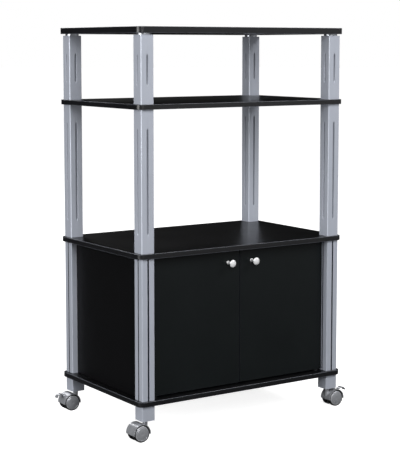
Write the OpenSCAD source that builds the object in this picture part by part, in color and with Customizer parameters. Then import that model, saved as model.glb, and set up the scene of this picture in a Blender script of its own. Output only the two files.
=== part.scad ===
/* [Boards] */
// Width of every board, left to right
board_w = 600; // [500:5:900]
// Depth of every board, front to back
board_d = 385; // [300:1:600]
// Radius of the boards' corners, seen from above
board_r = 16; // [6:1:24]
// Thickness of the top board
top_t = 15; // [12:0.5:25]
// Thickness of the three lower boards
shelf_t = 12; // [9:0.5:20]

/* [Bays] */
// Clear height between the middle shelf and the top board
upper_bay_h = 162; // [110:1:300]
// Clear height between the cabinet and the middle shelf
middle_bay_h = 332; // [150:1:450]
// Clear height inside the cabinet
cabinet_h = 335; // [200:1:500]
// Height of the plain feet under the base board
foot_h = 36; // [35:1:80]

/* [Posts] */
// Side of the square posts
post_s = 34; // [30:1:50]
// Radius of the posts' long corners
post_r = 2; // [0.5:0.1:3]
// Wall of the tubes and of the feet
post_wall = 3.5; // [3:0.1:5]
// From the boards' side edge to the posts' outer face
post_edge_x = 9; // [2:0.5:30]
// From the boards' front and back edge to the posts' outer face
post_edge_y = 6.5; // [2:0.5:30]
// Width of the decorative groove in each tube face
groove_w = 5.5; // [3:0.1:8]
// Depth of the decorative groove
groove_depth = 2.2; // [1:0.1:2.5]
// Plain length left at each end of a tube before its groove
groove_end = 45; // [20:1:50]
// Length over which each end of a groove tapers to a point
groove_taper = 7; // [2:0.5:9]

/* [Cabinet posts and panels] */
// Thickness of the side and back panels
panel_t = 4; // [3:0.1:5]
// How far a panel reaches into the slot of a post
panel_tuck = 5; // [3:0.1:5]
// Free depth of a slot behind the panel's edge
slot_spare = 1; // [0.5:0.1:1.5]
// Total play across a panel in its slot
slot_play = 0.4; // [0.2:0.1:0.8]
// Wall of the slotted profile
profile_wall = 1.8; // [1.2:0.1:2.2]
// Radius of the round hole down the middle of the profile
core_r = 7; // [6:0.1:7.5]

/* [Joining parts] */
// Radius of the joining studs
stud_r = 4; // [3:0.5:4]
// How far a stud reaches into a plug
stud_grip = 14; // [8:0.5:15]
// Length of the plugs in the ends of the posts
plug_l = 16; // [16:0.5:17]
// Gap around a plug in its post
plug_fit = 0.1; // [0.05:0.05:0.3]
// Gap around a stud in its plug
stud_fit = 0.05; // [0.02:0.01:0.1]
// Gap around a stud in the hole of a board
stud_hole_fit = 0.5; // [0.2:0.1:1]
// How far the silver collars under the top board stay inside the posts' faces
collar_inset = 0.5; // [0:0.1:2]
// Height of the silver collars
collar_h = 4; // [2:0.5:10]
// Outer radius of the inserts in the top board
insert_r = 6; // [5:0.5:8]
// Wood left above an insert
top_skin = 4; // [2:0.5:6]

/* [Doors] */
// Thickness of the doors
door_t = 12; // [9:0.5:18]
// From the front face of the posts back to the front of the doors
door_setback = 20; // [10:0.5:24]
// Gap between the two closed doors
door_seam = 3; // [2:0.5:6]
// Gap above the doors
door_top_gap = 3; // [2:0.5:8]
// Gap under the doors
door_low_gap = 3.5; // [2.5:0.5:8]
// From a door's outer edge to its pivot
pivot_in = 12; // [8:0.5:20]
// Least gap between a turning door and its post
swing_gap = 0.6; // [0.3:0.1:2]
// Radius of the pivot pins
pin_r = 3; // [2:0.5:4]
// Depth of a pivot pin in its door
pin_grip = 20; // [10:1:40]
// Running gap around a pivot pin
pin_fit = 0.05; // [0.02:0.01:0.1]
// Wall of the pivot bushes
bush_wall = 2; // [1.2:0.1:3]
// Height of a bush's flange above its board
bush_flange = 1; // [0.6:0.1:1.5]
// Wood left beyond the end of a bush
bush_floor = 3; // [2:0.5:4]
// Diameter of the knobs
knob_d = 18; // [12:0.5:26]
// How far a knob stands out of its door
knob_reach = 24; // [16:0.5:26]
// From a door's free edge to its knob
knob_side = 33.5; // [24:0.5:80]
// From a door's top edge to its knob
knob_drop = 29; // [20:0.5:160]

/* [Catch] */
// Width of the magnetic catch
catch_w = 46; // [36:1:70]
// Depth of the magnetic catch, front to back
catch_d = 14; // [10:0.5:24]
// Height of the magnetic catch
catch_h = 13; // [10:0.5:20]
// Width of a strike plate
strike_w = 16; // [12:0.5:18]
// Thickness of a strike plate
strike_t = 1.2; // [0.8:0.1:2]
// Gap between a closed strike plate and the magnets
strike_gap = 0.5; // [0.3:0.1:1]

/* [Casters] */
// Radius of a wheel
wheel_r = 20.5; // [18:0.5:30]
// Width of one wheel of a pair
wheel_w = 12; // [9:0.5:18]
// Gap between the two wheels of a pair
wheel_gap = 14; // [14:0.5:20]
// From the swivel axis back to the axle
trail = 18; // [14:0.5:20]
// Radius of an axle
axle_r = 2.5; // [2:0.5:3.5]
// Running gap around an axle and around a swivel pin
turn_fit = 0.05; // [0.02:0.01:0.1]
// Gap between a wheel's tread and its hood
hood_gap = 0.8; // [0.6:0.1:2]
// Wall of a hood
hood_wall = 1.5; // [1.2:0.1:3]
// Gap between a hood's middle web and each wheel
web_gap = 0.8; // [0.4:0.1:1.5]
// Height from a hood's top to the underside of its foot
head_room = 4.7; // [4:0.1:12]
// Height of the flange between a stem and its foot
flange_h = 3; // [2:0.1:3.5]
// Gap between the flange and the hood that turns under it
swivel_gap = 0.3; // [0.2:0.1:0.6]
// Length of the swivel pin inside a hood
swivel_l = 12; // [8:0.5:13]
// Length of a stem in its socket
stem_l = 15; // [10:0.5:16]
// Length of a caster socket in its foot
socket_l = 18; // [17:0.5:18]
// Width of a brake pedal
pedal_w = 12; // [8:0.5:20]
// Thickness of a brake pedal
pedal_t = 2.2; // [1.6:0.1:3]

/* [Hidden] */
$fn = 64;
over = 1; // how far a cut runs past the face it opens

// Where the posts stand
post_x = board_w / 2 - post_edge_x - post_s / 2;
post_y = board_d / 2 - post_edge_y - post_s / 2;

// Heights above the floor
hood_in = wheel_r + hood_gap;
hood_r = hood_in + hood_wall;
foot_z = wheel_r + hood_r + head_room;
base_z = foot_z + foot_h;
cabinet_z = base_z + shelf_t;
cabinet_top_z = cabinet_z + cabinet_h;
middle_z = cabinet_top_z + shelf_t;
shelf_z = middle_z + middle_bay_h;
upper_z = shelf_z + shelf_t;
top_z = upper_z + upper_bay_h;
upper_tube_h = upper_bay_h - collar_h;
collar_r = post_s / 2 - collar_inset;

// Posts and what fits in them
slot_w = panel_t + slot_play;
slot_depth = panel_tuck + slot_spare;
tube_bore = post_s - 2 * post_wall;
groove_r = (pow(groove_w / 2, 2) + pow(groove_depth, 2)) / (2 * groove_depth);
stud_bore_r = stud_r + stud_fit;
board_hole_r = stud_r + stud_hole_fit;
insert_l = top_t - top_skin;

// Doors
door_side_gap = sqrt(pow(pivot_in, 2) + pow(door_t / 2, 2)) - pivot_in + swing_gap;
door_outer_x = post_x - post_s / 2 - door_side_gap;
door_w = door_outer_x - door_seam / 2;
door_front_y = -post_y - post_s / 2 + door_setback;
door_back_y = door_front_y + door_t;
door_z = cabinet_z + door_low_gap;
door_h = cabinet_h - door_low_gap - door_top_gap;
pivot_x = door_outer_x - pivot_in;
pivot_y = door_front_y + door_t / 2;
knob_x = door_seam / 2 + knob_side;
knob_z = door_z + door_h - knob_drop;
bush_l = shelf_t - bush_floor;
bush_r = pin_r + pin_fit + bush_wall;
bush_fit = 0.05;
shoulder_gap = 0.2; // between the lower pin's shoulder and its bush

// Knob outline: a foot against the door, a thin neck and a domed head
knob_foot_r = 4.4;
knob_foot_h = 1.5;
knob_neck_r = 3.2;
knob_head_h = 8;
knob_dome_h = 2.5;
knob_screw_r = 2;
knob_screw_fit = 0.25;
knob_screw_l = 10; // length inside the knob
screw_head_r = 3.8;
screw_head_h = 2.2;

// Catch
catch_y = door_back_y + strike_t + strike_gap;
magnet_w = 16;
magnet_h = 7;
magnet_d = 6;
magnet_x = 11;
strike_h = 12;
peg_r = 2;
peg_l = 6;

// Casters, with the swivel axis at x = 0 and the axle behind it at x = trail
web_t = wheel_gap - 2 * web_gap;
hood_inset = 0.4; // how far the rim of a hood stays inside the wheels' outer faces
hood_half = wheel_gap / 2 + wheel_w - hood_inset;
hood_drop = 2.5; // how far the hood reaches below the axle
axle_boss_r = 6;
flange_r = 5.5;
boss_r = 6;
boss_z = foot_z - flange_h - swivel_gap;
boss_low = hood_wall; // how far above the axle the swivel boss starts
axle_end = 2; // wheel left outside the end of the axle
tread_bevel = 1.4;
cap_r = wheel_r - tread_bevel;
cap_step = 0.7;
hub_r = 5.5;
rim_wall = 3.5;
face_wall = 4;

// Brake lever: its pivot, measured from the axle, and the arc of its pedal, from the pivot
lever_depth = 3; // how far inside the hood's outer face the pivot lies
lever_at = (hood_r - lever_depth) * sqrt(0.5); // the pivot lies at 45 degrees from the axle
lever_hub_r = 2.8;
lever_hub_w = 6;
lever_pin_r = 1.25;
lever_slot_gap = 0.4;
lever_swing = 20;
arm_angle = 48;
arm_l = 6.3;
arm_t = 3.4;
arm_w = 5;
pedal_arc_r = 12;
pedal_arc_x = 13;
pedal_arc_z = -3.5;
pedal_from = 20;
pedal_to = 139;

silver = [0.66, 0.68, 0.72];
black = [0.1, 0.1, 0.11];
graphite = [0.45, 0.46, 0.48];
bright = [0.85, 0.86, 0.88];
dark_plastic = [0.16, 0.16, 0.17];

// A plate with round corners, centred on the z axis
module rounded_block(w, d, h, r) {
    translate([-w / 2 + r, -d / 2, 0]) cube([w - 2 * r, d, h]);
    translate([-w / 2, -d / 2 + r, 0]) cube([w, d - 2 * r, h]);
    for (sx = [-1, 1], sy = [-1, 1])
        translate([sx * (w / 2 - r), sy * (d / 2 - r), 0]) cylinder(h = h, r = r);
}

module square_bar(s, h) {
    translate([-s / 2, -s / 2, 0]) cube([s, s, h]);
}

module at_posts() {
    for (sx = [-1, 1], sy = [-1, 1]) translate([sx * post_x, sy * post_y, 0]) children();
}

module at_pivots() {
    for (sx = [-1, 1]) translate([sx * pivot_x, pivot_y, 0]) children();
}

// Boards

// A board drilled from below at each post
module board(t, hole_depth, hole_r) {
    difference() {
        rounded_block(board_w, board_d, t, board_r);
        at_posts() translate([0, 0, -over]) cylinder(h = hole_depth + over, r = hole_r);
    }
}

module shelf_board() {
    board(shelf_t, shelf_t + over, board_hole_r);
}

module top_board() {
    color(black) translate([0, 0, top_z]) board(top_t, insert_l, insert_r);
}

module middle_shelf() {
    color(black) translate([0, 0, shelf_z]) shelf_board();
}

module cabinet_top() {
    color(black) difference() {
        translate([0, 0, cabinet_top_z]) shelf_board();
        at_pivots() translate([0, 0, cabinet_top_z - over])
            cylinder(h = bush_l + over, r = bush_r + bush_fit);
    }
}

module base_board() {
    color(black) difference() {
        translate([0, 0, base_z]) shelf_board();
        at_pivots() translate([0, 0, cabinet_z - bush_l])
            cylinder(h = bush_l + over, r = bush_r + bush_fit);
    }
}

// Posts

// A round-bottomed groove that runs to a point at each end
module groove(h) {
    body = h - 2 * (groove_end + groove_taper);
    translate([0, -post_s / 2 + groove_depth - groove_r, 0]) {
        translate([0, 0, groove_end + groove_taper]) cylinder(h = body, r = groove_r);
        translate([0, 0, groove_end])
            cylinder(h = groove_taper, r1 = groove_r - groove_depth, r2 = groove_r);
        translate([0, 0, h - groove_end - groove_taper])
            cylinder(h = groove_taper, r1 = groove_r, r2 = groove_r - groove_depth);
    }
}

module grooved_tube(h) {
    difference() {
        rounded_block(post_s, post_s, h, post_r);
        translate([0, 0, -over]) square_bar(tube_bore, h + 2 * over);
        for (turn = [0:90:270]) rotate(turn) groove(h);
    }
}

module upper_post(sx, sy) {
    color(silver) translate([sx * post_x, sy * post_y, upper_z]) grooved_tube(upper_tube_h);
}

module middle_post(sx, sy) {
    color(silver) translate([sx * post_x, sy * post_y, middle_z]) grooved_tube(middle_bay_h);
}

// Slotted profile: a panel slot in each face, a round core and four hollow corners
module cabinet_post(sx, sy) {
    web = slot_w / 2 + profile_wall;
    cell = post_s / 2 - profile_wall - web;
    color(silver) translate([sx * post_x, sy * post_y, cabinet_z]) difference() {
        rounded_block(post_s, post_s, cabinet_h, post_r);
        for (turn = [0:90:270]) rotate(turn) {
            translate([-slot_w / 2, post_s / 2 - slot_depth, -over])
                cube([slot_w, slot_depth + over, cabinet_h + 2 * over]);
            difference() {
                translate([web, web, -over]) cube([cell, cell, cabinet_h + 2 * over]);
                translate([0, 0, -2 * over])
                    cylinder(h = cabinet_h + 4 * over, r = core_r + profile_wall);
            }
        }
        translate([0, 0, -over]) cylinder(h = cabinet_h + 2 * over, r = core_r);
    }
}

module foot(sx, sy) {
    color(silver) translate([sx * post_x, sy * post_y, foot_z]) difference() {
        rounded_block(post_s, post_s, foot_h, post_r);
        translate([0, 0, -over]) square_bar(tube_bore, foot_h + 2 * over);
    }
}

// What joins posts and boards

module square_plug(l) {
    difference() {
        square_bar(tube_bore - 2 * plug_fit, l);
        translate([0, 0, -over]) cylinder(h = l + 2 * over, r = stud_bore_r);
    }
}

module round_plug() {
    difference() {
        cylinder(h = plug_l, r = core_r - plug_fit);
        translate([0, 0, -over]) cylinder(h = plug_l + 2 * over, r = stud_bore_r);
    }
}

module post_plugs() {
    tube_ends = [base_z - plug_l, middle_z, shelf_z - plug_l, upper_z, top_z - collar_h - plug_l];
    color(dark_plastic) at_posts() {
        for (z = tube_ends) translate([0, 0, z]) square_plug(plug_l);
        for (z = [cabinet_z, cabinet_top_z - plug_l]) translate([0, 0, z]) round_plug();
    }
}

module joining_studs() {
    color(bright) at_posts() {
        for (z = [base_z, cabinet_top_z, shelf_z]) translate([0, 0, z - stud_grip])
            cylinder(h = shelf_t + 2 * stud_grip, r = stud_r);
        translate([0, 0, top_z - collar_h - stud_grip])
            cylinder(h = stud_grip + collar_h + insert_l - over, r = stud_r);
    }
}

module top_collars() {
    color(bright) at_posts() translate([0, 0, top_z - collar_h]) difference() {
        cylinder(h = collar_h, r = collar_r);
        translate([0, 0, -over]) cylinder(h = collar_h + 2 * over, r = board_hole_r);
    }
}

module top_inserts() {
    color(bright) at_posts() translate([0, 0, top_z]) difference() {
        cylinder(h = insert_l, r = insert_r);
        translate([0, 0, -over]) cylinder(h = insert_l + 2 * over, r = stud_bore_r);
    }
}

module caster_sockets() {
    color(dark_plastic) at_posts() translate([0, 0, foot_z]) square_plug(socket_l);
}

// Panels

module side_panel(sx) {
    reach = 2 * (post_y - post_s / 2 + panel_tuck);
    color(black) translate([sx * post_x - panel_t / 2, -reach / 2, cabinet_z])
        cube([panel_t, reach, cabinet_h]);
}

module back_panel() {
    reach = 2 * (post_x - post_s / 2 + panel_tuck);
    color(black) translate([-reach / 2, post_y - panel_t / 2, cabinet_z])
        cube([reach, panel_t, cabinet_h]);
}

// Doors: sx is -1 for the left door and 1 for the right one

module door(sx) {
    color(black) difference() {
        translate([sx * (door_seam / 2 + door_w / 2) - door_w / 2, door_front_y, door_z])
            cube([door_w, door_t, door_h]);
        for (z = [door_z - over, door_z + door_h - pin_grip])
            translate([sx * pivot_x, pivot_y, z])
                cylinder(h = pin_grip + over, r = pin_r + pin_fit);
        translate([sx * knob_x, door_front_y - over, knob_z]) rotate([-90, 0, 0])
            cylinder(h = door_t + 2 * over, r = knob_screw_r + knob_screw_fit);
        translate([sx * magnet_x, door_back_y - peg_l, strike_z()]) rotate([-90, 0, 0])
            cylinder(h = peg_l + over, r = peg_r);
    }
}

function strike_z() = cabinet_top_z - catch_h / 2 - door_top_gap / 2;

module knob(sx) {
    neck_top = knob_reach - knob_head_h;
    r = knob_d / 2;
    dome_r = (pow(r, 2) + pow(knob_dome_h, 2)) / (2 * knob_dome_h);
    color(bright) translate([sx * knob_x, door_front_y, knob_z]) rotate([90, 0, 0]) difference() {
        union() {
            cylinder(h = knob_foot_h, r = knob_foot_r);
            cylinder(h = neck_top + over, r = knob_neck_r);
            translate([0, 0, neck_top])
                cylinder(h = knob_head_h - knob_dome_h - over, r1 = knob_neck_r, r2 = r);
            intersection() {
                translate([0, 0, knob_reach - knob_dome_h - over])
                    cylinder(h = knob_dome_h + over, r = r);
                translate([0, 0, knob_reach - dome_r]) sphere(r = dome_r);
            }
        }
        translate([0, 0, -over]) cylinder(h = knob_screw_l + over, r = knob_screw_r);
    }
}

module knob_screw(sx) {
    color(bright) translate([sx * knob_x, door_back_y, knob_z]) rotate([90, 0, 0]) {
        translate([0, 0, -screw_head_h]) cylinder(h = screw_head_h, r = screw_head_r);
        cylinder(h = door_t + knob_screw_l - over, r = knob_screw_r);
    }
}

module pivot_pins(sx) {
    pin_l = bush_l - over;
    shoulder = door_low_gap - bush_flange - shoulder_gap;
    color(bright) translate([sx * pivot_x, pivot_y, 0]) {
        translate([0, 0, cabinet_z - pin_l])
            cylinder(h = pin_l + door_low_gap + pin_grip - over, r = pin_r);
        translate([0, 0, door_z - shoulder]) cylinder(h = shoulder, r = bush_r);
        translate([0, 0, door_z + door_h - pin_grip + over])
            cylinder(h = pin_grip - over + door_top_gap + pin_l, r = pin_r);
    }
}

module bush() {
    difference() {
        union() {
            translate([0, 0, -bush_l]) cylinder(h = bush_l, r = bush_r);
            cylinder(h = bush_flange, r = bush_r + bush_wall);
        }
        translate([0, 0, -bush_l - over])
            cylinder(h = bush_l + bush_flange + 2 * over, r = pin_r + pin_fit);
    }
}

module pivot_bushes() {
    color(dark_plastic) at_pivots() {
        translate([0, 0, cabinet_z]) bush();
        translate([0, 0, cabinet_top_z]) mirror([0, 0, 1]) bush();
    }
}

// Catch under the cabinet top

module magnets() {
    for (sx = [-1, 1])
        translate([sx * magnet_x - magnet_w / 2, catch_y, strike_z() - magnet_h / 2])
            cube([magnet_w, magnet_d, magnet_h]);
}

module magnetic_catch() {
    color(dark_plastic) difference() {
        translate([-catch_w / 2, catch_y, cabinet_top_z - catch_h])
            cube([catch_w, catch_d, catch_h]);
        translate([0, -over, 0]) magnets();
        magnets();
    }
}

module catch_magnets() {
    color(graphite) magnets();
}

module strike(sx) {
    color(bright) translate([sx * magnet_x, door_back_y, strike_z()]) {
        translate([-strike_w / 2, 0, -strike_h / 2]) cube([strike_w, strike_t, strike_h]);
        translate([0, -peg_l, 0]) rotate([-90, 0, 0]) cylinder(h = peg_l, r = peg_r);
    }
}

// Casters: heading 0 trails to the right, 180 to the left

module place_caster(sx, sy, heading) {
    translate([sx * post_x, sy * post_y, 0]) rotate(heading) children();
}

module across(h, r) {
    rotate([90, 0, 0]) cylinder(h = h, r = r, center = true);
}

module caster_stems() {
    color(bright) at_posts() {
        translate([0, 0, boss_z + swivel_gap - swivel_l])
            cylinder(h = swivel_l + flange_h + stem_l, r = stud_r);
        translate([0, 0, foot_z - flange_h]) cylinder(h = flange_h, r = flange_r);
    }
}

module hood_shell() {
    intersection() {
        difference() {
            across(2 * hood_half, hood_r);
            across(2 * hood_half + 2 * over, hood_in);
        }
        translate([-hood_r - over, -hood_half - over, -hood_drop])
            cube([2 * (hood_r + over), 2 * (hood_half + over), hood_r + hood_drop + over]);
    }
}

module hood_web() {
    intersection() {
        across(web_t, hood_r - hood_wall / 2);
        translate([-hood_r, -web_t, -hood_drop]) cube([2 * hood_r, 2 * web_t, 2 * hood_r]);
    }
    across(web_t, axle_boss_r);
}

module lever_slot() {
    lever_slot_w = lever_hub_w + 2 * lever_slot_gap;
    translate([lever_at, 0, lever_at]) {
        across(lever_slot_w, lever_hub_r + lever_slot_gap);
        across(web_t + 2 * over, lever_pin_r + turn_fit);
        rotate([0, lever_swing / 2 - arm_angle, 0])
            translate([0, -lever_slot_w / 2, -arm_t]) cube([2 * arm_l, lever_slot_w, 2 * arm_t]);
    }
}

module caster_hood(sx, sy, heading, braked) {
    color(graphite) place_caster(sx, sy, heading) difference() {
        union() {
            translate([trail, 0, wheel_r]) {
                hood_shell();
                hood_web();
            }
            translate([0, 0, wheel_r + boss_low]) cylinder(h = boss_z - wheel_r - boss_low, r = boss_r);
        }
        translate([0, 0, boss_z - swivel_l - over])
            cylinder(h = swivel_l + 2 * over, r = stud_r + turn_fit);
        translate([trail, 0, wheel_r]) {
            across(web_t + 2 * over, axle_r + turn_fit);
            if (braked) lever_slot();
        }
    }
}

module axle(sx, sy, heading) {
    color(bright) place_caster(sx, sy, heading) translate([trail, 0, wheel_r])
        across(wheel_gap + 2 * (wheel_w - axle_end), axle_r);
}

// One wheel, turned about its axle; side is -1 for the wheel nearer the front of the cart
module wheel(sx, sy, heading, side) {
    bore = axle_r + turn_fit;
    rim = wheel_r - rim_wall;
    color(graphite) translate([sx * post_x, sy * post_y, 0])
        translate([heading == 0 ? trail : -trail, side * wheel_gap / 2, wheel_r])
        rotate([-90 * side, 0, 0]) rotate_extrude() polygon([
            [0, wheel_w],
            [cap_r - cap_step, wheel_w],
            [cap_r, wheel_w - cap_step],
            [wheel_r - cap_step, wheel_w - cap_step],
            [wheel_r, wheel_w - tread_bevel],
            [wheel_r, tread_bevel],
            [wheel_r - tread_bevel, 0],
            [rim, 0],
            [rim, wheel_w - face_wall],
            [hub_r, wheel_w - face_wall],
            [hub_r, 0],
            [bore, 0],
            [bore, wheel_w - axle_end + turn_fit],
            [0, wheel_w - axle_end + turn_fit]]);
}

module pedal_outline() {
    sweep = 3 * pedal_arc_r;
    mid = (pedal_from + pedal_to) / 2;
    intersection() {
        difference() {
            circle(r = pedal_arc_r + pedal_t / 2);
            circle(r = pedal_arc_r - pedal_t / 2);
        }
        polygon([
            [0, 0],
            sweep * [cos(pedal_from), sin(pedal_from)],
            sweep * [cos(mid), sin(mid)],
            sweep * [cos(pedal_to), sin(pedal_to)]]);
    }
}

module brake_lever(sx, sy, heading) {
    color(graphite) place_caster(sx, sy, heading) translate([trail, 0, wheel_r]) {
        translate([lever_at, 0, lever_at]) {
            across(lever_hub_w, lever_hub_r);
            across(web_t, lever_pin_r);
            rotate([0, -arm_angle, 0]) translate([0, -arm_w / 2, -arm_t / 2])
                cube([arm_l, arm_w, arm_t]);
            translate([pedal_arc_x, pedal_w / 2, pedal_arc_z]) rotate([90, 0, 0])
                linear_extrude(height = pedal_w) pedal_outline();
        }
    }
}

top_board();
middle_shelf();
cabinet_top();
base_board();
upper_post(-1, -1);  // upper_post_fl
upper_post(1, -1);  // upper_post_fr
upper_post(-1, 1);  // upper_post_bl
upper_post(1, 1);  // upper_post_br
middle_post(-1, -1);  // middle_post_fl
middle_post(1, -1);  // middle_post_fr
middle_post(-1, 1);  // middle_post_bl
middle_post(1, 1);  // middle_post_br
cabinet_post(-1, -1);  // cabinet_post_fl
cabinet_post(1, -1);  // cabinet_post_fr
cabinet_post(-1, 1);  // cabinet_post_bl
cabinet_post(1, 1);  // cabinet_post_br
foot(-1, -1);  // foot_fl
foot(1, -1);  // foot_fr
foot(-1, 1);  // foot_bl
foot(1, 1);  // foot_br
post_plugs();
joining_studs();
top_collars();
top_inserts();
caster_sockets();
side_panel(-1);  // side_panel_left
side_panel(1);  // side_panel_right
back_panel();
door(-1);  // door_left
door(1);  // door_right
knob(-1);  // knob_left
knob(1);  // knob_right
knob_screw(-1);  // knob_screw_left
knob_screw(1);  // knob_screw_right
pivot_pins(-1);  // pivot_pins_left
pivot_pins(1);  // pivot_pins_right
pivot_bushes();
magnetic_catch();
catch_magnets();
strike(-1);  // strike_left
strike(1);  // strike_right
caster_stems();
caster_hood(-1, -1, 180, false);  // caster_hood_fl
caster_hood(1, -1, 0, true);  // caster_hood_fr
caster_hood(-1, 1, 180, true);  // caster_hood_bl
caster_hood(1, 1, 0, false);  // caster_hood_br
axle(-1, -1, 180);  // axle_fl
axle(1, -1, 0);  // axle_fr
axle(-1, 1, 180);  // axle_bl
axle(1, 1, 0);  // axle_br
wheel(-1, -1, 180, -1);  // wheel_fl_outer
wheel(-1, -1, 180, 1);  // wheel_fl_inner
wheel(1, -1, 0, -1);  // wheel_fr_outer
wheel(1, -1, 0, 1);  // wheel_fr_inner
wheel(-1, 1, 180, 1);  // wheel_bl_outer
wheel(-1, 1, 180, -1);  // wheel_bl_inner
wheel(1, 1, 0, 1);  // wheel_br_outer
wheel(1, 1, 0, -1);  // wheel_br_inner
brake_lever(1, -1, 0);  // brake_lever_fr
brake_lever(-1, 1, 180);  // brake_lever_bl
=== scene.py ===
import math

import bmesh
import bpy
from mathutils import Matrix, Vector


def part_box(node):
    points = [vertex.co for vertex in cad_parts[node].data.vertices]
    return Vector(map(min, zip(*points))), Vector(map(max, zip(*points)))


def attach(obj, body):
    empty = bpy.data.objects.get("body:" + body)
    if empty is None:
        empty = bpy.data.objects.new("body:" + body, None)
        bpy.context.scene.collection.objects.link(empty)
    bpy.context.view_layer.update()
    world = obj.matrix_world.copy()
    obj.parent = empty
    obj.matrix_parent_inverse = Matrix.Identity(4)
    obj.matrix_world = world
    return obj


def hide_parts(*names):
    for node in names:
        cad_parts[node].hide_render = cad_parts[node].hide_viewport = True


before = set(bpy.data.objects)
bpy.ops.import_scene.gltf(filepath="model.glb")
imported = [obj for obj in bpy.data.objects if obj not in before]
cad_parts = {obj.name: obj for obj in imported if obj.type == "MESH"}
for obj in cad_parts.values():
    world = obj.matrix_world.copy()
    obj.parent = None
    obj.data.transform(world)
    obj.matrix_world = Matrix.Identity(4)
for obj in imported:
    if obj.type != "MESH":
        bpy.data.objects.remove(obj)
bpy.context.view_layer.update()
scene = bpy.context.scene
mm = 0.001
weld = 1e-6  # points closer than this are one point
flatAngle = math.radians(0.4)  # faces that meet at less than this are one flat face
corners = ("fl", "fr", "bl", "br")


# Node trees

class Wire:  # one socket, so that sums on it can be written as sums
    def __init__(self, net, socket):
        self.net, self.socket = net, socket

    def math(self, operation, *values):
        return self.net.node("ShaderNodeMath", {"operation": operation}, dict(enumerate(values)))

    def __add__(self, other):
        return self.math("ADD", self, other)

    def __radd__(self, other):
        return self.math("ADD", other, self)

    def __sub__(self, other):
        return self.math("SUBTRACT", self, other)

    def __rsub__(self, other):
        return self.math("SUBTRACT", other, self)

    def __mul__(self, other):
        return self.math("MULTIPLY", self, other)

    def __rmul__(self, other):
        return self.math("MULTIPLY", other, self)

    def __truediv__(self, other):
        return self.math("DIVIDE", self, other)

    def __lt__(self, other):
        return self.math("LESS_THAN", self, other)

    def __gt__(self, other):
        return self.math("GREATER_THAN", self, other)

    def size(self):
        return self.math("ABSOLUTE", self)

    def clip(self):  # held between 0 and 1
        return self.net.node("ShaderNodeClamp", None, {0: self})


class Net:  # a node tree, of a material or of geometry
    def __init__(self, tree):
        self.tree = tree

    def node(self, kind, settings=None, values=None, out=0):
        made = self.tree.nodes.new(kind)
        for key, value in (settings or {}).items():
            setattr(made, key, value)
        for key, value in (values or {}).items():
            if isinstance(value, Wire):
                self.tree.links.new(value.socket, made.inputs[key])
            else:
                made.inputs[key].default_value = value
        return Wire(self, made.outputs[out]) if len(made.outputs) else None

    def mixColour(self, factor, first, second):
        return self.node("ShaderNodeMix", {"data_type": "RGBA"},
                         {0: factor, 6: first, 7: second}, out=2)

    def noise(self, scale, detail=2.0, stretch=(1, 1, 1)):
        coords = self.node("ShaderNodeTexCoord", out="Object")
        placed = self.node("ShaderNodeMapping", None, {"Vector": coords, "Scale": stretch})
        return self.node("ShaderNodeTexNoise", None,
                         {"Vector": placed, "Scale": scale, "Detail": detail})

    def attribute(self, name):
        return self.node("ShaderNodeAttribute", {"attribute_name": name}, out="Fac")

    def bump(self, height, distance, strength=1.0):
        return self.node("ShaderNodeBump", None,
                         {"Height": height, "Distance": distance, "Strength": strength})


def newMaterial(name, paint):
    material = bpy.data.materials.new(name)
    material.use_nodes = True
    material.node_tree.nodes.clear()
    net = Net(material.node_tree)
    shader = net.node("ShaderNodeBsdfPrincipled", None, paint(net))
    net.node("ShaderNodeOutputMaterial", None, {"Surface": shader})
    return material


def rgb(red, green, blue):  # display values 0 to 255 as a shader colour
    def linear(value):
        value /= 255
        return value / 12.92 if value <= 0.04045 else ((value + 0.055) / 1.055) ** 2.4
    return (linear(red), linear(green), linear(blue), 1.0)


# Finishes

# Satin melamine on board: pressed pores along the grain, faint smears, and a paler edge line that
# is partly wear and partly a painted highlight
def laminate(name, look):
    def paint(net):
        pores = net.noise(look["poreScale"], 3.0, look["grain"])
        smears = net.noise(look["smearScale"], 3.0)
        # the rounded edges are painted paler: partly wear, partly a painted highlight where they
        # would catch the light
        wornAndLitEdge = net.attribute("edge")
        shade = (smears * 0.5 + pores * 0.5).clip()
        base = net.mixColour(shade, look["dark"], look["light"])
        return {
            "Base Color": net.mixColour(wornAndLitEdge * look["wearAndHighlight"], base, look["edgeColour"]),
            "Roughness": look["roughness"] + (smears - 0.5) * look["smears"]
                         - wornAndLitEdge * look["polish"],
            "Specular IOR Level": look["gloss"],
            "Normal": net.bump(pores, look["poreDepth"]),
        }
    return newMaterial(name, paint)


# Satin silver coat on steel: fine lengthwise streaks, corners with a painted highlight, and painted
# shade in the grooves
def silverCoat(name, look):
    def paint(net):
        streaks = net.noise(look["streakScale"], 3.0, look["streakStretch"])
        clouds = net.noise(look["cloudScale"], 2.0)
        speckle = net.noise(look["speckleScale"], 1.0)
        # the rounded corners are painted paler: a painted highlight, with a little wear
        wornAndLitEdge = net.attribute("edge")
        # painted shade: darker where the groove or slot is deeper, standing in for the shade inside
        # it
        deep = net.attribute("groove")
        shade = (clouds * 0.4 + streaks * 0.35 + speckle * 0.25).clip()
        base = net.mixColour(shade, look["dark"], look["light"])
        bright = net.mixColour(wornAndLitEdge * look["wearAndHighlight"], base, look["edgeColour"])
        return {
            "Base Color": net.mixColour(deep * look["grooveShade"], bright, look["grooveColour"]),
            "Metallic": look["metal"],
            "Roughness": look["roughness"] + (streaks - 0.5) * look["streakRoughness"]
                         + (clouds - 0.5) * look["cloudRoughness"] - wornAndLitEdge * look["polish"],
            "Specular IOR Level": look["gloss"],
            "Normal": net.bump(streaks * 0.6 + speckle * 0.4, look["streakDepth"]),
        }
    return newMaterial(name, paint)
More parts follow.
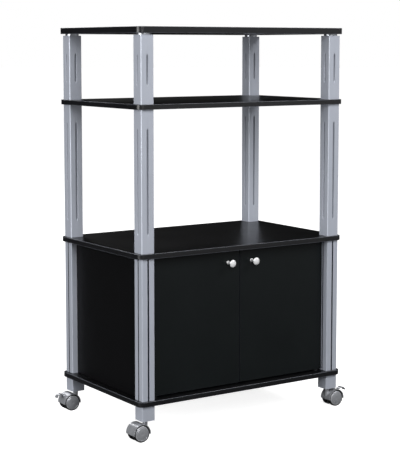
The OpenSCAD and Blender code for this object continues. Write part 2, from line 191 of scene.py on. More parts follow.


# Moulded plastic: a fine spark-eroded texture, soft colour drift and paler edges, partly rubbed
# wear and partly a painted highlight
def mouldedPlastic(name, look):
    def paint(net):
        grain = net.noise(look["grainScale"], 2.0)
        drift = net.noise(look["driftScale"], 3.0)
        # the rounded edges are painted paler: partly rubbed wear, partly a painted highlight
        wornAndLitEdge = net.attribute("edge")
        base = net.mixColour(drift, look["dark"], look["light"])
        return {
            "Base Color": net.mixColour(wornAndLitEdge * look["wearAndHighlight"], base, look["edgeColour"]),
            "Roughness": look["roughness"] + (grain - 0.5) * look["grainRoughness"]
                         + (drift - 0.5) * look["driftRoughness"],
            "Specular IOR Level": look["gloss"],
            "Metallic": look["flake"],
            "Normal": net.bump(grain, look["grainDepth"]),
        }
    return newMaterial(name, paint)


# Bare or plated metal: turned or rolled marks with a little dullness in patches
def plainMetal(name, look):
    def paint(net):
        marks = net.noise(look["markScale"], 3.0, look["markStretch"])
        patches = net.noise(look["patchScale"], 3.0)
        return {
            "Base Color": net.mixColour((marks * 0.4 + patches * 0.6).clip(),
                                        look["dark"], look["light"]),
            "Metallic": look["metal"],
            "Roughness": look["roughness"] + (marks - 0.5) * look["markRoughness"]
                         + (patches - 0.5) * look["patchRoughness"],
            "Normal": net.bump(marks, look["markDepth"]),
        }
    return newMaterial(name, paint)


boardLook = {
    "dark": rgb(8, 8, 9), "light": rgb(15, 15, 17), "edgeColour": rgb(66, 69, 76),
    "poreScale": 1.0, "grain": (70, 1100, 1100), "smearScale": 9.0, "poreDepth": 0.00002,
    "roughness": 0.3, "smears": 0.1, "polish": 0.08, "wearAndHighlight": 0.6, "gloss": 0.24,
}
# edgeColour here is the painted highlight on the tube corners and lips
postLook = {
    "dark": rgb(171, 176, 187), "light": rgb(193, 198, 210), "edgeColour": rgb(216, 222, 233),
    "grooveColour": rgb(56, 60, 72), "grooveShade": 0.95, "wearAndHighlight": 0.8,
    "streakScale": 1.0, "streakStretch": (1500, 1500, 14), "streakDepth": 0.00003,
    "cloudScale": 11.0, "speckleScale": 2600.0, "metal": 0.22, "gloss": 0.5,
    "roughness": 0.42, "streakRoughness": 0.12, "cloudRoughness": 0.08, "polish": 0.1,
}
steelLook = {
    "dark": rgb(150, 153, 156), "light": rgb(198, 200, 202), "metal": 1.0,
    "markScale": 1.0, "markStretch": (140, 140, 2200), "markDepth": 0.00001,
    "patchScale": 260.0, "roughness": 0.36, "markRoughness": 0.16, "patchRoughness": 0.2,
}
plasticLook = {
    "dark": rgb(20, 20, 22), "light": rgb(34, 34, 36), "edgeColour": rgb(64, 64, 68),
    "grainScale": 2400.0, "grainDepth": 0.00004, "grainRoughness": 0.2,
    "driftScale": 70.0, "driftRoughness": 0.12,
    "roughness": 0.5, "gloss": 0.4, "wearAndHighlight": 0.4, "flake": 0.0,
}
finishes = {
    "boardFace": laminate("boardFace", boardLook),
    # the paler edgeColour is mostly a painted highlight line along the rounded board edges
    "boardEdge": laminate("boardEdge", {
        **boardLook, "dark": rgb(14, 14, 16), "light": rgb(23, 24, 27), "gloss": 0.5,
        "edgeColour": rgb(130, 134, 144), "grain": (900, 900, 900), "roughness": 0.32}),
    "doorFace": laminate("doorFace", {
        **boardLook, "dark": rgb(14, 17, 18), "light": rgb(23, 27, 28),
        "grain": (1100, 1100, 60), "roughness": 0.38, "gloss": 0.2}),
    "doorEdge": laminate("doorEdge", {
        **boardLook, "dark": rgb(36, 38, 42), "light": rgb(54, 56, 62),
        "grain": (900, 900, 900), "roughness": 0.36}),
    "panelFace": laminate("panelFace", {
        **boardLook, "dark": rgb(8, 8, 9), "light": rgb(14, 14, 16),
        "grain": (1100, 1100, 60), "roughness": 0.4, "gloss": 0.15}),
    "silverPost": silverCoat("silverPost", postLook),
    "silverCollar": plainMetal("silverCollar", {
        **steelLook, "dark": rgb(186, 189, 196), "light": rgb(222, 225, 230), "metal": 0.9,
        "markStretch": (60, 60, 2600), "patchScale": 60.0,
        "roughness": 0.3, "markRoughness": 0.14, "patchRoughness": 0.1}),
    "knobChrome": plainMetal("knobChrome", {
        **steelLook, "dark": rgb(246, 247, 249), "light": rgb(255, 255, 255), "metal": 0.3,
        "markStretch": (1900, 260, 1900), "markDepth": 0.000004, "patchScale": 120.0,
        "roughness": 0.28, "markRoughness": 0.08, "patchRoughness": 0.1}),
    "zincSteel": plainMetal("zincSteel", steelLook),
    "blackSteel": plainMetal("blackSteel", {
        **steelLook, "dark": rgb(34, 35, 38), "light": rgb(58, 59, 63), "metal": 0.9,
        "roughness": 0.44, "patchRoughness": 0.16}),
    "blackPlastic": mouldedPlastic("blackPlastic", plasticLook),
    "ferrite": mouldedPlastic("ferrite", {
        **plasticLook, "dark": rgb(40, 40, 43), "light": rgb(74, 74, 78),
        "edgeColour": rgb(96, 96, 100), "grainScale": 1500.0, "grainDepth": 0.00008,
        "driftScale": 400.0, "roughness": 0.62}),
    # the bright edgeColour is a painted highlight on the hood rims, lever edges and wheel cap
    # bevels
    "casterGrey": mouldedPlastic("casterGrey", {
        **plasticLook, "dark": rgb(166, 168, 173), "light": rgb(188, 190, 195),
        "edgeColour": rgb(236, 238, 243), "grainScale": 2100.0, "grainDepth": 0.00003,
        "driftScale": 55.0, "roughness": 0.3, "gloss": 0.5, "wearAndHighlight": 0.7, "flake": 0.5}),
    "treadBlack": mouldedPlastic("treadBlack", {
        **plasticLook, "dark": rgb(15, 15, 16), "light": rgb(30, 30, 32),
        "edgeColour": rgb(58, 58, 60), "grainScale": 1300.0, "grainDepth": 0.00006,
        "driftScale": 90.0, "roughness": 0.58, "gloss": 0.35, "wearAndHighlight": 0.3}),
}
print("finishes made:", len(finishes))


# Mesh tools

# A merged copy of a CAD node's mesh, with its flat faces made whole
def copyNode(node):
    work = bmesh.new()
    work.from_mesh(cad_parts[node].data)
    bmesh.ops.remove_doubles(work, verts=work.verts, dist=weld)
    bmesh.ops.dissolve_limit(work, angle_limit=flatAngle, verts=work.verts, edges=work.edges)
    return work


# Rounds the edges sharper than an angle, and marks the narrow new faces with "edge" = 1
def roundEdges(work, width, segments=2, angle=35, only=lambda edge: True):
    mark = work.faces.layers.float.get("edge") or work.faces.layers.float.new("edge")
    limit = math.radians(angle)
    sharp = [e for e in work.edges if len(e.link_faces) == 2
             and e.calc_face_angle() > limit and only(e)]
    made = bmesh.ops.bevel(work, geom=sharp, offset=width, offset_type="OFFSET",
                           segments=segments, profile=0.5, affect="EDGES", clamp_overlap=True,
                           material=-1)
    for face in made["faces"]:
        face[mark] = 1.0
    return work


def toMesh(work, name):
    mesh = bpy.data.meshes.new(name)
    work.to_mesh(mesh)
    work.free()
    return mesh


# A surface turned about the z axis from (radius, height) points that start and end on it
def lathe(points, steps, name, bandOf=None, edgeRows=()):
    work = bmesh.new()
    mark = work.faces.layers.float.new("edge")
    rings = []
    for radius, height in points:
        if radius == 0:
            rings.append([work.verts.new((0, 0, height))])
        else:
            rings.append([work.verts.new((radius * math.cos(turn), radius * math.sin(turn), height))
                          for turn in (2 * math.pi * k / steps for k in range(steps))])
    for row, (low, high) in enumerate(zip(rings, rings[1:])):
        for k in range(steps):
            a, b = low[k % len(low)], low[(k + 1) % len(low)]
            c, d = high[(k + 1) % len(high)], high[k % len(high)]
            face = work.faces.new([v for i, v in enumerate((a, b, c, d))
                                   if v not in (a, b, c, d)[:i]])
            face.material_index = bandOf(row) if bandOf else 0
            face[mark] = float(row in edgeRows)
    bmesh.ops.recalc_face_normals(work, faces=work.faces)
    return toMesh(work, name)


# Smooth shading with the flats kept flat
def shade(mesh, angle=40, weighted=True):
    mesh.shade_smooth()
    mesh.set_sharp_from_angle(angle=math.radians(angle))
    if not weighted:
        return mesh
    holder = bpy.data.objects.new("holder", mesh)
    scene.collection.objects.link(holder)
    keeper = holder.modifiers.new("flats", "WEIGHTED_NORMAL")
    keeper.keep_sharp = True
    made = evaluatedMesh(holder)
    bpy.data.objects.remove(holder)
    return made


def evaluatedMesh(holder):
    graph = bpy.context.evaluated_depsgraph_get()
    graph.update()
    return bpy.data.meshes.new_from_object(holder.evaluated_get(graph),
                                           preserve_all_data_layers=True, depsgraph=graph)


# Puts a finished mesh in the scene as one piece of a body
def addPiece(name, mesh, body, slot, nodes, *looks):
    for place, look in enumerate(looks):
        if place < len(mesh.materials):
            mesh.materials[place] = finishes[look]
        else:
            mesh.materials.append(finishes[look])
    piece = bpy.data.objects.new(name, mesh)
    scene.collection.objects.link(piece)
    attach(piece, body)
    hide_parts(*nodes)
    return piece


# Geometry trees

def newTree(name, inputs):
    tree = bpy.data.node_groups.new(name, "GeometryNodeTree")
    for label, kind in inputs:
        tree.interface.new_socket(label, in_out="INPUT", socket_type="NodeSocket" + kind)
    tree.interface.new_socket("Geometry", in_out="OUTPUT", socket_type="NodeSocketGeometry")
    net = Net(tree)
    group = tree.nodes.new("NodeGroupInput")
    return tree, net, {label: Wire(net, group.outputs[label]) for label, _ in inputs}


def endTree(net, shape, material):
    real = net.node("GeometryNodeRealizeInstances", None, {"Geometry": shape})
    done = net.node("GeometryNodeSetMaterial", None, {"Geometry": real, "Material": material})
    last = net.tree.nodes.new("NodeGroupOutput")
    net.tree.links.new(done.socket, last.inputs[0])


# Runs a tree on a source mesh and gives its result as a plain mesh
def runTree(tree, values, source=None):
    holder = bpy.data.objects.new("holder", source or bpy.data.meshes.new("holder"))
    modifier = holder.modifiers.new("shape", "NODES")
    modifier.node_group = tree
    for item in tree.interface.items_tree:
        if item.in_out == "INPUT" and item.name in values:
            modifier[item.identifier] = values[item.name]
    scene.collection.objects.link(holder)
    made = evaluatedMesh(holder)
    holder.modifiers.clear()
    bpy.data.objects.remove(holder)
    return made


# A square tube whose faces each carry a round-bottomed groove that fades out at both ends.
# A grid is bent round: its x runs round the tube, its y up the outside and down the bore.
def grooveTubeTree():
    rows, fadeRows, turnRow, lastFade = 18, 6, 7.5, 14
    boreCorner = 0.7  # how much smaller the corner radius is in the bore
    darkSlope, darkStart, darkMost = 2.5, 0.5, 0.68  # how much painted shade the groove gets with depth
    cornerSlope = 1.6  # how fast the painted highlight on the corners comes in
    tree, net, given = newTree("grooveTube", [
        ("Side", "Float"), ("Corner Radius", "Float"), ("Wall", "Float"), ("Height", "Float"),
        ("Groove Width", "Float"), ("Groove Depth", "Float"), ("Groove End", "Float"),
        ("Groove Taper", "Float"), ("Round Steps", "Int"), ("Material", "Material")])
    grid = net.node("GeometryNodeMeshGrid", None, {
        "Size X": 1.0, "Size Y": 1.0, "Vertices X": given["Round Steps"] + 1,
        "Vertices Y": rows + 1})
    spot = net.node("GeometryNodeInputPosition")
    across = net.node("ShaderNodeSeparateXYZ", None, {0: spot}, out="X")
    along = net.node("ShaderNodeSeparateXYZ", None, {0: spot}, out="Y")
    turn = (across + 0.5) * (2 * math.pi)
    row = (along + 0.5) * rows

    # rows: 0 foot, 1 to 7 lower fade, 8 to 14 upper fade, 15 head, 16 bore head, 17 bore foot
    rise = ((row - 1) / fadeRows).clip()
    fall = ((lastFade - row) / fadeRows).clip()
    low = given["Groove End"] + given["Groove Taper"] * rise
    high = given["Height"] - given["Groove End"] - given["Groove Taper"] * fall
    between = low + (high - low) * (row > turnRow)
    grooved = (row > 0.5) * (row < lastFade + 0.5)
    height = between * grooved + given["Height"] * (row > lastFade + 0.5) * (row < rows - 1.5)
    bore = (row > rows - 2.5) * (row < rows - 0.5)

    # a square with round corners: a circle held inside the square, then pushed out by a radius
    half = given["Side"] / 2 - given["Wall"] * bore
    radius = given["Corner Radius"] * (1 - bore * boreCorner)
    inner = half - radius
    reach = half * 1.5  # past the square's corners
    circleX, circleY = turn.math("COSINE", turn) * reach, turn.math("SINE", turn) * reach

    def held(value):
        return value.math("MAXIMUM", value.math("MINIMUM", value, inner), inner * -1)
    heldX, heldY = held(circleX), held(circleY)
    offX, offY = circleX - heldX, circleY - heldY
    span = offX.math("SQRT", offX * offX + offY * offY)
    x, y = heldX + offX * radius / span, heldY + offY * radius / span

    # the groove: a circle of rising radius sunk into the middle of each outer face
    fade = rise.math("MINIMUM", rise + (row > turnRow), fall + (row < turnRow)).clip()
    fade = fade * (1 - bore) * grooved
    quarter = given["Groove Width"] * given["Groove Width"] / 4
    depth = given["Groove Depth"]
    full = (quarter + depth * depth) / (depth * 2)
    local = full - depth * (1 - fade)
    aside = x.math("MINIMUM", x.size(), y.size())
    square = x.math("MAXIMUM", local * local - aside * aside, 0.0)
    sunk = x.math("MAXIMUM", x.math("SQRT", square) - (full - depth), 0.0) * (fade > 0.001)
    onX = x.size() > y.size()
    x, y = x - x.math("SIGN", x) * sunk * onX, y - y.math("SIGN", y) * sunk * (1 - onX)

    place = net.node("ShaderNodeCombineXYZ", None, {"X": x, "Y": y, "Z": height})
    # the groove's painted shade, stronger towards its deep middle
    marked = net.node("GeometryNodeStoreNamedAttribute", {"data_type": "FLOAT"}, {
        "Geometry": grid, "Name": "groove",
        "Value": (sunk / depth * darkSlope - darkStart).clip() * darkMost})
    # the rounded corners get the painted highlight
    corner = ((aside - inner) / radius * cornerSlope).clip() * (1 - bore)
    marked = net.node("GeometryNodeStoreNamedAttribute", {"data_type": "FLOAT"}, {
        "Geometry": marked, "Name": "edge", "Value": corner})
    bent = net.node("GeometryNodeSetPosition", None, {"Geometry": marked, "Position": place})
    closed = net.node("GeometryNodeMergeByDistance", None, {"Geometry": bent, "Distance": weld})
    endTree(net, closed, given["Material"])
    return tree


# The same shape at the four posts
def cornerTree():
    tree, net, given = newTree("fourCorners", [
        ("Geometry", "Geometry"), ("Spacing X", "Float"), ("Spacing Y", "Float"),
        ("Height", "Float"), ("Material", "Material")])
    points = net.node("GeometryNodeMeshGrid", None, {
        "Size X": given["Spacing X"], "Size Y": given["Spacing Y"],
        "Vertices X": 2, "Vertices Y": 2})
    lift = net.node("ShaderNodeCombineXYZ", None, {"Z": given["Height"]})
    raised = net.node("GeometryNodeSetPosition", None, {"Geometry": points, "Offset": lift})
    copies = net.node("GeometryNodeInstanceOnPoints", None,
                      {"Points": raised, "Instance": given["Geometry"]})
    endTree(net, copies, given["Material"])
    return tree


# Thin ribs set out like spokes between a hub and a rim
def spokeTree():
    tree, net, given = newTree("wheelRibs", [
        ("Count", "Int"), ("Middle Radius", "Float"), ("Length", "Float"),
        ("Thickness", "Float"), ("Width", "Float"), ("Material", "Material")])
    ring = net.node("GeometryNodeMeshCircle", None,
                    {"Vertices": given["Count"], "Radius": given["Middle Radius"]})
    size = net.node("ShaderNodeCombineXYZ", None, {
        "X": given["Length"], "Y": given["Thickness"], "Z": given["Width"]})
    rib = net.node("GeometryNodeMeshCube", None, {"Size": size})
    spot = net.node("GeometryNodeInputPosition")
    facing = net.node("FunctionNodeAlignRotationToVector", {"axis": "X"}, {"Vector": spot})
    copies = net.node("GeometryNodeInstanceOnPoints", None,
                      {"Points": ring, "Instance": rib, "Rotation": facing})
    endTree(net, copies, given["Material"])
    return tree


# Low round grip ribs that follow the arc of a brake pedal
def gripTree():
    tree, net, given = newTree("pedalGrip", [
        ("Arc Radius", "Float"), ("Start", "Float"), ("Sweep", "Float"), ("Count", "Int"),
        ("Rib Radius", "Float"), ("Rib Length", "Float"), ("Material", "Material")])
    arc = net.node("GeometryNodeCurveArc", {"mode": "RADIUS"}, {
        "Resolution": 48, "Radius": given["Arc Radius"], "Start Angle": given["Start"],
        "Sweep Angle": given["Sweep"]})
    points = net.node("GeometryNodeCurveToPoints", {"mode": "COUNT"},
                      {"Curve": arc, "Count": given["Count"]})
    end = net.node("ShaderNodeCombineXYZ", None, {"Z": given["Rib Length"] / 2})
    start = net.node("ShaderNodeCombineXYZ", None, {"Z": given["Rib Length"] / -2})
    line = net.node("GeometryNodeCurvePrimitiveLine", None, {"Start": start, "End": end})
    ring = net.node("GeometryNodeCurvePrimitiveCircle", {"mode": "RADIUS"},
                    {"Resolution": 10, "Radius": given["Rib Radius"]})
    bar = net.node("GeometryNodeCurveToMesh", None,
                   {"Curve": line, "Profile Curve": ring, "Fill Caps": True})
    copies = net.node("GeometryNodeInstanceOnPoints", None, {"Points": points, "Instance": bar})
    endTree(net, copies, given["Material"])
    return tree


fourCorners = cornerTree()


# Where things are

def middle(node):
    low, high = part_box(node)
    return (low + high) / 2


def centred(work, node, drop):  # brings a copy's axis to the origin and lowers it by drop
    spot = middle(node)
    bmesh.ops.translate(work, verts=work.verts, vec=(-spot.x, -spot.y, -drop))
    return work


def atFourPosts(mesh, node, height, look):
    spot = middle(node)
    return runTree(fourCorners, {
        "Spacing X": 2 * abs(spot.x), "Spacing Y": 2 * abs(spot.y), "Height": height,
        "Material": finishes[look]}, mesh)


# Boards

boards = {"edgeRound": 0.7 * mm, "edgeSteps": 3, "cornerRadius": 16 * mm,
          "rimWithin": 0.3 * mm, "faceWithin": 0.05 * mm}


def makeBoard(name, node):
    low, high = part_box(node)

    def insideBy(spot):  # how far inside the rounded outline a point lies
        radius = boards["cornerRadius"]
        x, y = abs(spot.x) - high.x + radius, abs(spot.y) - high.y + radius
        return radius - math.hypot(max(x, 0), max(y, 0)) - min(max(x, y), 0)

    def onRim(edge):  # an edge of the outline, not of a drilled hole
        return all(insideBy(v.co) < boards["rimWithin"] for v in edge.verts)
    work = roundEdges(copyNode(node), boards["edgeRound"], boards["edgeSteps"], 60, onRim)
    for face in work.faces:
        height = face.calc_center_median().z
        fromFace = min(abs(height - low.z), abs(height - high.z))
        face.material_index = int(fromFace > boards["faceWithin"])
    mesh = shade(toMesh(work, name))
    addPiece(name, mesh, "root", "black_board", [node], "boardFace", "boardEdge")


for name, node in (("topBoard", "top_board"), ("middleShelf", "middle_shelf"),
                   ("cabinetTop", "cabinet_top"), ("baseBoard", "base_board")):
    makeBoard(name, node)
print("boards made")


# Posts, feet and collars

posts = {"cornerRadius": 2 * mm, "wall": 3.5 * mm, "grooveWidth": 5.5 * mm,
         "grooveDepth": 2.2 * mm, "grooveEnd": 41 * mm, "grooveTaper": 7 * mm, "roundSteps": 320}
profile = {"lipRound": 0.35 * mm, "footRound": 0.3 * mm, "slotDark": 0.8 * mm}
collar = {"edge": 0.6 * mm, "edgeSlope": 0.3, "bore": 4.5 * mm, "steps": 96}

grooveTube = grooveTubeTree()


def makeTubes(name, kind):
    nodes = [f"{kind}_{corner}" for corner in corners]
    low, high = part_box(nodes[0])
    tube = runTree(grooveTube, {
        "Side": high.x - low.x, "Corner Radius": posts["cornerRadius"], "Wall": posts["wall"],
        "Height": high.z - low.z, "Groove Width": posts["grooveWidth"],
        "Groove Depth": posts["grooveDepth"], "Groove End": posts["grooveEnd"],
        "Groove Taper": posts["grooveTaper"], "Round Steps": posts["roundSteps"],
        "Material": finishes["silverPost"]})
    work = bmesh.new()
    work.from_mesh(tube)
    bmesh.ops.recalc_face_normals(work, faces=work.faces)
    mesh = atFourPosts(toMesh(work, name), nodes[0], low.z, "silverPost")
    shade(mesh, 35, weighted=False)
    addPiece(name, mesh, "root", "silver_post", nodes, "silverPost")


makeTubes("upperPosts", "upper_post")
makeTubes("middlePosts", "middle_post")

for name, kind, width in (("cabinetPosts", "cabinet_post", profile["lipRound"]),
                          ("feet", "foot", profile["footRound"])):
    nodes = [f"{kind}_{corner}" for corner in corners]
    low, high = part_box(nodes[0])
    half = (high.x - low.x) / 2
    work = roundEdges(centred(copyNode(nodes[0]), nodes[0], low.z), width, 2, 40)
    deep = work.faces.layers.float.new("groove")
    for face in work.faces:  # painted shade on the walls and floors of the slots
        centre = face.calc_center_median()
        inset = half - max(abs(centre.x), abs(centre.y))
        face[deep] = float(inset > profile["slotDark"] and abs(face.normal.z) < 0.5)
    mesh = atFourPosts(toMesh(work, name), nodes[0], low.z, "silverPost")
    addPiece(name, shade(mesh), "root", "silver_post", nodes, "silverPost")

low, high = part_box("top_collars")
radius = high.x - abs(middle("upper_post_fl").x)
rise, bore, cut = high.z - low.z, collar["bore"], collar["edge"]
slope = cut * collar["edgeSlope"]
ring = lathe([(bore, 0), (radius - cut, 0), (radius - slope, slope), (radius, cut),
              (radius, rise - cut), (radius - slope, rise - slope), (radius - cut, rise),
              (bore, rise), (bore, 0)], collar["steps"], "collar")
work = bmesh.new()
work.from_mesh(ring)
bmesh.ops.remove_doubles(work, verts=work.verts, dist=weld)
bmesh.ops.recalc_face_normals(work, faces=work.faces)
mesh = atFourPosts(toMesh(work, "topCollars"), "upper_post_fl", low.z, "silverCollar")
addPiece("topCollars", shade(mesh, 50), "root", "silver_collar", ["top_collars"], "silverCollar")
print("posts made")


# Doors, knobs and catch

doors = {"edgeRound": 0.5 * mm, "edgeSteps": 2, "outlineWithin": 0.1 * mm}
knob = {"footRadius": 4.4 * mm, "footHeight": 1.5 * mm, "footEdge": 0.3 * mm,
        "footStep": 0.4 * mm, "footFillet": 0.7 * mm, "neckRadius": 3.2 * mm,
        "neckEnd": 1 * mm, "flareRadius": 2.2 * mm, "flareDrop": 0.2 * mm,
        "flareTurn": (180, 118), "rimRadius": 1.2 * mm, "rimDrop": 1 * mm, "rimTurn": (-40, 62),
        "headHeight": 8 * mm, "domeHeight": 2.5 * mm, "domeInset": 0.9 * mm, "steps": 72}
catch = {"strikeRound": 0.25 * mm, "housingRound": 0.5 * mm, "magnetRound": 0.2 * mm}


def arcPoints(centreR, centreH, radius, start, end, count):
    return [(centreR + radius * math.cos(math.radians(start + (end - start) * k / count)),
             centreH + radius * math.sin(math.radians(start + (end - start) * k / count)))
            for k in range(count + 1)]


# The knob's outline from the middle of its foot, over the head, to the middle of its dome
def knobPoints(reach, rim):
    foot, footTop = knob["footRadius"], knob["footHeight"]
    edge, fillet = knob["footEdge"], knob["footFillet"]
    neck, flare, bend = knob["neckRadius"], knob["flareRadius"], knob["rimRadius"]
    neckTop = reach - knob["headHeight"]
    domeHeight = knob["domeHeight"]
    domeRadius = (rim ** 2 + domeHeight ** 2) / (2 * domeHeight)
    lean = math.degrees(math.asin((rim - knob["domeInset"]) / domeRadius))
    dome = arcPoints(0, reach - domeRadius, domeRadius, 90 - lean, 90, 14)
    dome[-1] = (0, reach)
    return ([(0, 0), (foot - edge, 0), (foot, edge), (foot, footTop - edge),
             (foot - knob["footStep"], footTop)]
            + arcPoints(neck + fillet, footTop + fillet, fillet, 270, 180, 5)
            + [(neck, neckTop - knob["neckEnd"])]
            + arcPoints(neck + flare, neckTop - knob["flareDrop"], flare, *knob["flareTurn"], 5)
            + arcPoints(rim - bend, reach - domeHeight - knob["rimDrop"], bend,
                        *knob["rimTurn"], 9)
            + dome)


def makeDoor(side):
    door = f"door_{side}"
    low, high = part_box(door)

    def onOutline(edge):  # not an edge of a pocket or a screw hole
        return all(min(v.co.x - low.x, high.x - v.co.x, v.co.z - low.z, high.z - v.co.z)
                   < doors["outlineWithin"] for v in edge.verts)
    work = roundEdges(copyNode(door), doors["edgeRound"], doors["edgeSteps"], 60, onOutline)
    for face in work.faces:
        face.material_index = int(abs(face.normal.y) < 0.9)  # the faces that aren't flat on
    addPiece(f"doorSlab.{side}", shade(toMesh(work, "doorSlab")), door, "door_laminate", [door],
             "doorFace", "doorEdge")

    low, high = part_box(f"knob_{side}")
    rim = (high.x - low.x) / 2
    mesh = lathe(knobPoints(high.y - low.y, rim), knob["steps"], "knob")
    spot = Vector(((low.x + high.x) / 2, high.y, (low.z + high.z) / 2))
    mesh.transform(Matrix.Translation(spot) @ Matrix.Rotation(math.radians(90), 4, "X"))
    addPiece(f"knobTurned.{side}", shade(mesh, 45), door, "knob_metal", [f"knob_{side}"],
             "knobChrome")

    work = roundEdges(copyNode(f"strike_{side}"), catch["strikeRound"], 2, 60)
    addPiece(f"strikePlate.{side}", shade(toMesh(work, "strike")), door, "zinc_steel",
             [f"strike_{side}"], "zincSteel")


for side in ("left", "right"):
    makeDoor(side)

work = roundEdges(copyNode("magnetic_catch"), catch["housingRound"], 2, 60)
addPiece("catchHousing", shade(toMesh(work, "catch")), "root", "black_plastic",
         ["magnetic_catch"], "blackPlastic")
work = roundEdges(copyNode("catch_magnets"), catch["magnetRound"], 1, 60)
addPiece("catchMagnets", shade(toMesh(work, "magnets")), "root", "magnet",
         ["catch_magnets"], "ferrite")
print("doors made")


# Casters

caster = {"edgeRound": 0.45 * mm, "edgeSteps": 2, "leverRound": 0.35 * mm,
          "leverRadius": 13.1 * mm}
wheel = {
    "axleFit": 2.55 * mm, "axleEnd": 1.95 * mm, "hub": 5.5 * mm, "rim": 17 * mm,
    "faceWall": 4 * mm, "lip": 0.3 * mm, "boss": 3.2 * mm, "bossSunk": 0.3 * mm,
    "capGap": 2.7 * mm, "dome": 1.7 * mm, "steps": 96,
    # the rest in millimetres: on the cap, radius and depth below its dome
    "capLine": ((3.8, 0.02), (6, 0), (9, 0), (12, 0), (14.1, 0), (14.5, 0.28), (15, 0.3),
                (15.4, 0)),
    "capRim": ((1.1, 0), (0.5, 0.12), (0, 0.6)),        # in from the cap's rim, depth
    "seat": ((0.15, 2.9), (0.6, 2.7)),                  # out from the cap's rim, depth
    "shoulder": ((0.9, 2.0), (0.3, 2.2), (0, 2.8)),     # in from the tread, depth
    "foot": ((0, 1.5), (0.2, 0.8), (0.6, 0.3), (1.4, 0)),  # in from the tread, height
}
ribs = {"Count": 8, "Thickness": 1.2 * mm, "Width": 6 * mm}
ribSunk = 0.2 * mm  # how far the ribs run into the hub, the rim and the face
grip = {"Arc Radius": 12.95 * mm, "Start": math.radians(40), "Sweep": math.radians(62),
        "Count": 6, "Rib Radius": 0.4 * mm, "Rib Length": 9 * mm}

spokes = spokeTree()
pedalGrip = gripTree()


# One wheel about the z axis: its plain face is at the full width, its bore opens at zero
def wheelMesh(radius, width):
    cap = radius - wheel["capGap"]
    rim, hub, lip, bore = wheel["rim"], wheel["hub"], wheel["lip"], wheel["axleFit"]
    boss, inner, end = (width - wheel[key] for key in ("bossSunk", "faceWall", "axleEnd"))

    def domed(far, sunk):
        return (far, width - wheel["dome"] * (far / cap) ** 2 - sunk * mm)
    line = ([(0, boss), (wheel["boss"], boss)]
            + [domed(far * mm, sunk) for far, sunk in wheel["capLine"]])
    capRim = [domed(cap - back * mm, sunk) for back, sunk in wheel["capRim"]]
    tread = ([(cap + out * mm, width - sunk * mm) for out, sunk in wheel["seat"]]
             + [(radius - back * mm, width - sunk * mm) for back, sunk in wheel["shoulder"]]
             + [(radius - back * mm, high * mm) for back, high in wheel["foot"]])
    inside = [(rim + lip, 0), (rim, lip), (rim, inner), (hub, inner), (hub, lip),
              (hub - lip, 0), (bore, 0), (bore, end), (0, end)]
    treadStart = len(line) + len(capRim)
    treadRows = range(treadStart, treadStart + len(tread))
    # the cap's rim rows carry "edge", which the grey finish paints as a bright highlight ring
    mesh = lathe(line + capRim + tread + inside, wheel["steps"], "wheel",
                 lambda row: int(row in treadRows), range(len(line), treadStart - 1))
    shade(mesh, 38, weighted=False)
    spoke = runTree(spokes, {
        **ribs, "Middle Radius": (hub + rim) / 2, "Length": rim - hub + 2 * ribSunk,
        "Material": finishes["casterGrey"]})
    spoke.transform(Matrix.Translation((0, 0, inner - ribs["Width"] / 2 + ribSunk)))
    work = bmesh.new()
    work.from_mesh(mesh)
    work.from_mesh(spoke)
    return toMesh(work, "wheel")


for corner in corners:
    body = f"caster_{corner}"
    node = f"caster_hood_{corner}"
    work = roundEdges(copyNode(node), caster["edgeRound"], caster["edgeSteps"], 40)
    addPiece(f"hoodShell.{corner}", shade(toMesh(work, "hood")), body, "caster_grey", [node],
             "casterGrey")
    for place in ("outer", "inner"):
        node = f"wheel_{corner}_{place}"
        low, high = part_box(node)
        spot = (low + high) / 2
        mesh = wheelMesh((high.z - low.z) / 2, high.y - low.y)
        outward = 1 if spot.y > middle(f"caster_hood_{corner}").y else -1
        inside = low.y if outward > 0 else high.y
        turn = Matrix.Rotation(math.radians(-90 * outward), 4, "X")
        mesh.transform(Matrix.Translation((spot.x, inside, spot.z)) @ turn)
        addPiece(f"wheelTurned.{corner}.{place}", mesh, node, "wheel_plastic", [node],
                 "casterGrey", "treadBlack")

for corner, heading in (("fr", 1), ("bl", -1)):
    node = f"brake_lever_{corner}"
    low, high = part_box(node)
    work = roundEdges(copyNode(node), caster["leverRound"], 2, 40)
    rib = runTree(pedalGrip, {**grip, "Material": finishes["casterGrey"]})
    tip = high.x if heading > 0 else low.x
    reach = caster["leverRadius"]
    upright = Matrix.Rotation(math.radians(90), 4, "X")
    facing = Matrix.Rotation(0 if heading > 0 else math.pi, 4, "Z")
    rib.transform(Matrix.Translation((tip - heading * reach, middle(node).y, high.z - reach))
                  @ facing @ upright)
    work.from_mesh(rib)
    addPiece(f"brakePedal.{corner}", shade(toMesh(work, "lever")), node, "caster_grey", [node],
             "casterGrey")
print("casters made")


# CAD nodes that stay

kept = {
    "panelFace": ["side_panel_left", "side_panel_right", "back_panel"],
    "blackPlastic": ["post_plugs", "caster_sockets", "pivot_bushes"],
    "blackSteel": ["pivot_pins_left", "pivot_pins_right"],
    "zincSteel": ["joining_studs", "top_inserts", "caster_stems", "knob_screw_left",
                  "knob_screw_right", *(f"axle_{corner}" for corner in corners)],
}
for look, nodes in kept.items():
    for node in nodes:
        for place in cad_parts[node].material_slots:
            place.material = finishes[look]


# Floor, light and camera

floorLook = {"reach": 60.0, "cells": 8, "near": 1.3, "far": 4.5,
             "nearGlow": 0.85, "farGlow": 1.0,                     # as the eye sees it
             "mirrorNear": 0.8, "mirrorFar": 8.0, "bounce": 0.06}  # as the cart sees it
window = {"towards": (0.557, -0.83, 0.0), "glow": 0.62, "rise": 6.0}  # pale wall, front right
dome = {"colour": (0.97, 0.98, 1.0, 1), "low": 0.004, "high": 0.05}
black, white = (0, 0, 0, 1), (1, 1, 1, 1)


# How far a direction faces the pale wall, from 0 to 1
def facingWindow(net, way):
    return net.node("ShaderNodeVectorMath", {"operation": "DOT_PRODUCT"},
                    {0: way, 1: window["towards"]}, out="Value").clip()


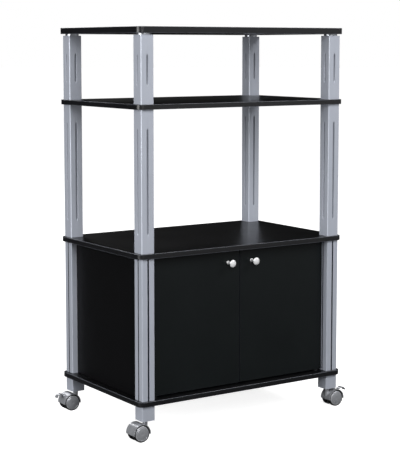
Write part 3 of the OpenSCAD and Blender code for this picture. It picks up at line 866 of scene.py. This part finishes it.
# The floor glows far off like a lit sweep. The camera sees it pale, but it throws little light
# on the cart, so that the black boards stay black
def floorPaint(net):
    cloud = net.noise(3.0, 3.0)
    coords = net.node("ShaderNodeTexCoord", out="Object")
    away = net.node("ShaderNodeVectorMath", {"operation": "LENGTH"}, {0: coords}, out="Value")
    glow = net.node("ShaderNodeMapRange", {"interpolation_type": "SMOOTHSTEP"}, {
        "Value": away, "From Min": floorLook["near"], "From Max": floorLook["far"],
        "To Min": floorLook["nearGlow"], "To Max": floorLook["farGlow"]})
    mirrored = net.node("ShaderNodeMapRange", None, {
        "Value": away, "From Min": floorLook["mirrorNear"], "From Max": floorLook["mirrorFar"],
        "To Min": 0.0, "To Max": window["glow"]})
    wayOut = net.node("ShaderNodeVectorMath", {"operation": "NORMALIZE"}, {0: coords})
    mirrored = mirrored * facingWindow(net, wayOut)
    seen = net.node("ShaderNodeLightPath", out="Is Camera Ray")
    pale = net.mixColour(cloud, rgb(236, 236, 236), rgb(242, 242, 242))
    return {
        "Base Color": net.mixColour(seen * (1 - floorLook["bounce"]) + floorLook["bounce"],
                                    black, pale),
        "Roughness": 0.8, "Specular IOR Level": 0.1,
        "Emission Color": net.mixColour(seen * glow + (1 - seen) * mirrored, black, white),
        "Emission Strength": 1.0,
    }


work = bmesh.new()
bmesh.ops.create_grid(work, x_segments=floorLook["cells"], y_segments=floorLook["cells"],
                      size=floorLook["reach"])
floor = bpy.data.objects.new("floor", toMesh(work, "floor"))
floor.data.materials.append(newMaterial("floorWhite", floorPaint))
scene.collection.objects.link(floor)

lamps = {  # place, power and size of each soft box; all face the middle of the cart
    "frontBox": ((-1.4, -4.4, 2.6), 156, 2.4),
    "leftBox": ((-4.6, -0.3, 1.4), 160, 2.6),
    "rightBox": ((2.6, -3.0, 3.4), 92, 1.6),
    "backBox": ((0.2, 3.9, 3.6), 75, 1.8),
}
aim = Vector((0, 0, 0.5))
for name, (place, power, size) in lamps.items():
    light = bpy.data.lights.new(name, "AREA")
    light.energy, light.size, light.shape = power, size, "SQUARE"
    lamp = bpy.data.objects.new(name, light)
    lamp.location = place
    lamp.rotation_euler = (aim - Vector(place)).to_track_quat("-Z", "Y").to_euler()
    scene.collection.objects.link(lamp)

world = bpy.data.worlds.new("studio")
world.use_nodes = True
world.node_tree.nodes.clear()
net = Net(world.node_tree)
seen = net.node("ShaderNodeLightPath", out="Is Camera Ray")
way = net.node("ShaderNodeTexCoord", out="Generated")
up = net.node("ShaderNodeSeparateXYZ", None, {0: way}, out="Z")
wall = (1 - up.size() * window["rise"]).clip() * facingWindow(net, way) * window["glow"]
glow = dome["low"] + up.clip() * dome["high"] + wall
studio = net.node("ShaderNodeBackground", None, {"Color": dome["colour"], "Strength": glow})
plain = net.node("ShaderNodeBackground", None, {"Color": white, "Strength": 1.0})
sky = net.node("ShaderNodeMixShader", None, {0: seen, 1: studio, 2: plain})
net.node("ShaderNodeOutputWorld", None, {"Surface": sky})
scene.world = world
scene.view_settings.view_transform = "Standard"

view = {"place": (-1.8933, -2.8112, 0.9164), "pitch": -6.105, "yaw": 33.887,
        "sensor": 36, "lens": 106.54, "shift": -0.08, "far": 60}
lensData = bpy.data.cameras.new("camera")
lensData.sensor_width = view["sensor"]
lensData.lens = view["lens"]
lensData.shift_y = view["shift"]
lensData.clip_end = view["far"]
camera = bpy.data.objects.new("camera", lensData)
camera.location = view["place"]
camera.rotation_euler = (math.radians(90 + view["pitch"]), 0, math.radians(-view["yaw"]))
scene.collection.objects.link(camera)
scene.camera = camera
print("floor, lights and camera made")
